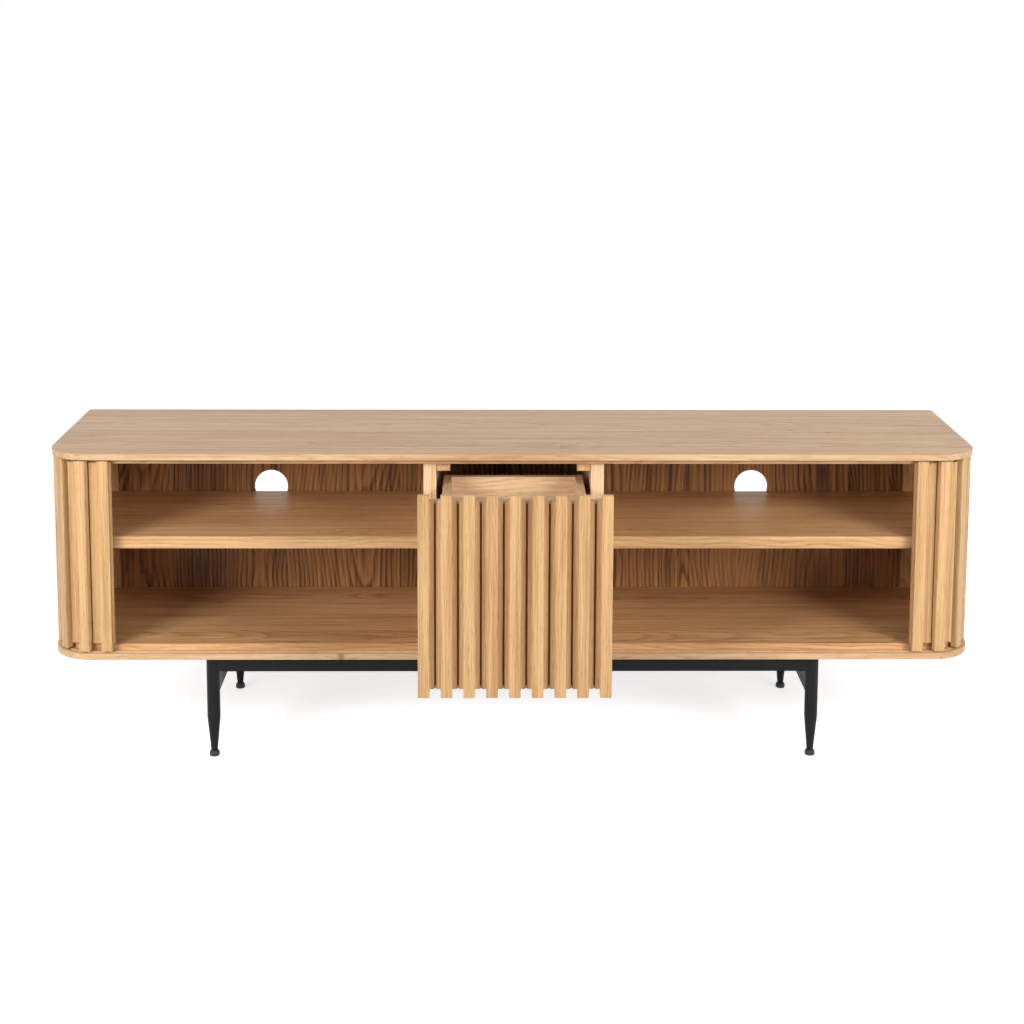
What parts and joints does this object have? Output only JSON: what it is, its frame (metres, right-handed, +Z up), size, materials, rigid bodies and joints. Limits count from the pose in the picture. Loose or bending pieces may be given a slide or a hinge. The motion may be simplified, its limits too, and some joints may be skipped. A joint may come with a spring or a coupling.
{
  "type": "media cabinet",
  "caption": "Low oak media cabinet with rounded front corners, tambour slatted doors, a slatted centre drawer on ball-bearing slides and a black steel base.",
  "frame": {"origin": "on the floor under the middle of the cabinet's bounding box, with the drawer pulled out as at rest", "axes": "+X to the cabinet's right seen from the front, +Y to its back, +Z up; the drawer pulls out along -Y"},
  "size_m": [1.8, 0.636, 0.61],
  "materials": {
    "oak_veneer": "matt lacquered oak veneer",
    "oak_inner": "matt lacquered oak veneer, inner faces",
    "back_board": "oak veneered hardboard",
    "oak_slat": "matt lacquered solid oak",
    "drawer_oak": "matt lacquered oak",
    "black_steel": "fine textured black powder coat",
    "foot_nylon": "black nylon",
    "slide_steel": "bright zinc plate",
    "screw_steel": "zinc plate"
  },
  "bodies": {
    "cabinet": {"top_plate": "oak_veneer", "bottom_plate": "oak_veneer", "inner_top_panel": "oak_inner", "inner_bottom_panel": "oak_inner", "left_divider": "oak_veneer", "right_divider": "oak_veneer", "left_inner_wall": "oak_inner", "right_inner_wall": "oak_inner", "left_side_panel": "oak_veneer", "right_side_panel": "oak_veneer", "outer_back_panel": "back_board", "inner_back_panel": "oak_inner", "left_shelf": "oak_veneer", "right_shelf": "oak_veneer", "shelf_pins": "screw_steel", "bay_cleats": "oak_inner", "left_outer_slide": "slide_steel", "right_outer_slide": "slide_steel", "slide_screws": "screw_steel", "left_mounting_plate": "black_steel", "right_mounting_plate": "black_steel", "base_screws": "screw_steel", "front_left_leg": "black_steel", "front_right_leg": "black_steel", "rear_left_leg": "black_steel", "rear_right_leg": "black_steel", "left_side_rail": "black_steel", "right_side_rail": "black_steel", "front_rail": "black_steel", "rear_rail": "black_steel"},
    "drawer": {"drawer_slats": "oak_slat", "drawer_front_board": "drawer_oak", "drawer_left_side": "drawer_oak", "drawer_right_side": "drawer_oak", "drawer_back": "drawer_oak", "drawer_bottom": "drawer_oak", "left_inner_slide": "slide_steel", "right_inner_slide": "slide_steel", "drawer_screws": "screw_steel"},
    "left_slide_runner": {"left_middle_slide": "slide_steel"},
    "left_outer_balls": {"left_outer_ball_cage": "slide_steel"},
    "left_inner_balls": {"left_inner_ball_cage": "slide_steel"},
    "right_slide_runner": {"right_middle_slide": "slide_steel"},
    "right_outer_balls": {"right_outer_ball_cage": "slide_steel"},
    "right_inner_balls": {"right_inner_ball_cage": "slide_steel"},
    "left_door_lead": {"left_lead_slat": "oak_slat"},
    "left_door_corner": {"left_corner_slats": "oak_slat"},
    "left_door_side": {"left_side_slats": "oak_slat"},
    "left_door_rear_corner": {"left_rear_corner_slat": "oak_slat"},
    "left_door_rear": {"left_rear_slats": "oak_slat"},
    "right_door_lead": {"right_lead_slat": "oak_slat"},
    "right_door_corner": {"right_corner_slats": "oak_slat"},
    "right_door_side": {"right_side_slats": "oak_slat"},
    "right_door_rear_corner": {"right_rear_corner_slat": "oak_slat"},
    "right_door_rear": {"right_rear_slats": "oak_slat"},
    "front_left_levelling_foot": {"front_left_foot": "foot_nylon"},
    "front_right_levelling_foot": {"front_right_foot": "foot_nylon"},
    "rear_left_levelling_foot": {"rear_left_foot": "foot_nylon"},
    "rear_right_levelling_foot": {"rear_right_foot": "foot_nylon"}
  },
  "joints": [
    {"name": "drawer_slide", "type": "slide", "parent": "cabinet", "child": "drawer", "axis": [0, -1, 0], "range_m": [-0.24, 0.09]},
    {"name": "left_outer_balls_travel", "type": "slide", "parent": "cabinet", "child": "left_outer_balls", "axis": [0, -1, 0], "range_m": [-0.06, 0.0225]},
    {"name": "left_slide_runner_travel", "type": "slide", "parent": "cabinet", "child": "left_slide_runner", "axis": [0, -1, 0], "range_m": [-0.12, 0.045]},
    {"name": "left_inner_balls_travel", "type": "slide", "parent": "cabinet", "child": "left_inner_balls", "axis": [0, -1, 0], "range_m": [-0.18, 0.0675]},
    {"name": "right_outer_balls_travel", "type": "slide", "parent": "cabinet", "child": "right_outer_balls", "axis": [0, -1, 0], "range_m": [-0.06, 0.0225]},
    {"name": "right_slide_runner_travel", "type": "slide", "parent": "cabinet", "child": "right_slide_runner", "axis": [0, -1, 0], "range_m": [-0.12, 0.045]},
    {"name": "right_inner_balls_travel", "type": "slide", "parent": "cabinet", "child": "right_inner_balls", "axis": [0, -1, 0], "range_m": [-0.18, 0.0675]},
    {"name": "left_door_slide", "type": "slide", "parent": "cabinet", "child": "left_door_lead", "axis": [1, 0, 0], "range_m": [0, 0.012]},
    {"name": "left_door_corner_turn", "type": "hinge", "parent": "cabinet", "child": "left_door_corner", "pos_m": [-0.8175, -0.002, 0.406], "axis": [0, 0, 1], "range_deg": [0, 11.66]},
    {"name": "left_door_side_travel", "type": "slide", "parent": "cabinet", "child": "left_door_side", "axis": [0, -1, 0], "range_m": [0, 0.012]},
    {"name": "left_door_rear_corner_turn", "type": "hinge", "parent": "cabinet", "child": "left_door_rear_corner", "pos_m": [-0.8375, 0.2575, 0.406], "axis": [0, 0, 1], "range_deg": [0, 17.63]},
    {"name": "left_door_rear_travel", "type": "slide", "parent": "cabinet", "child": "left_door_rear", "axis": [-1, 0, 0], "range_m": [0, 0.012]},
    {"name": "right_door_slide", "type": "slide", "parent": "cabinet", "child": "right_door_lead", "axis": [-1, 0, 0], "range_m": [0, 0.012]},
    {"name": "right_door_corner_turn", "type": "hinge", "parent": "cabinet", "child": "right_door_corner", "pos_m": [0.8175, -0.002, 0.406], "axis": [0, 0, -1], "range_deg": [0, 11.66]},
    {"name": "right_door_side_travel", "type": "slide", "parent": "cabinet", "child": "right_door_side", "axis": [0, -1, 0], "range_m": [0, 0.012]},
    {"name": "right_door_rear_corner_turn", "type": "hinge", "parent": "cabinet", "child": "right_door_rear_corner", "pos_m": [0.8375, 0.2575, 0.406], "axis": [0, 0, -1], "range_deg": [0, 17.63]},
    {"name": "right_door_rear_travel", "type": "slide", "parent": "cabinet", "child": "right_door_rear", "axis": [1, 0, 0], "range_m": [0, 0.012]},
    {"name": "front_left_foot_turn", "type": "hinge", "parent": "cabinet", "child": "front_left_levelling_foot", "pos_m": [-0.586, -0.061, 0], "axis": [0, 0, 1], "range_deg": [0, 2880]},
    {"name": "front_right_foot_turn", "type": "hinge", "parent": "cabinet", "child": "front_right_levelling_foot", "pos_m": [0.586, -0.061, 0], "axis": [0, 0, 1], "range_deg": [0, 2880]},
    {"name": "rear_left_foot_turn", "type": "hinge", "parent": "cabinet", "child": "rear_left_levelling_foot", "pos_m": [-0.586, 0.297, 0], "axis": [0, 0, 1], "range_deg": [0, 2880]},
    {"name": "rear_right_foot_turn", "type": "hinge", "parent": "cabinet", "child": "rear_right_levelling_foot", "pos_m": [0.586, 0.297, 0], "axis": [0, 0, 1], "range_deg": [0, 2880]}
  ],
  "couplings": [
    {"joint": "left_outer_balls_travel", "follows": "drawer_slide", "ratio": 0.25},
    {"joint": "left_slide_runner_travel", "follows": "drawer_slide", "ratio": 0.5},
    {"joint": "left_inner_balls_travel", "follows": "drawer_slide", "ratio": 0.75},
    {"joint": "right_outer_balls_travel", "follows": "drawer_slide", "ratio": 0.25},
    {"joint": "right_slide_runner_travel", "follows": "drawer_slide", "ratio": 0.5},
    {"joint": "right_inner_balls_travel", "follows": "drawer_slide", "ratio": 0.75},
    {"joint": "left_door_corner_turn", "follows": "left_door_slide", "rad_per_m": 16.949},
    {"joint": "left_door_side_travel", "follows": "left_door_slide", "ratio": 1},
    {"joint": "left_door_rear_corner_turn", "follows": "left_door_slide", "rad_per_m": 25.641},
    {"joint": "left_door_rear_travel", "follows": "left_door_slide", "ratio": 1},
    {"joint": "right_door_corner_turn", "follows": "right_door_slide", "rad_per_m": 16.949},
    {"joint": "right_door_side_travel", "follows": "right_door_slide", "ratio": 1},
    {"joint": "right_door_rear_corner_turn", "follows": "right_door_slide", "rad_per_m": 25.641},
    {"joint": "right_door_rear_travel", "follows": "right_door_slide", "ratio": 1}
  ]
}
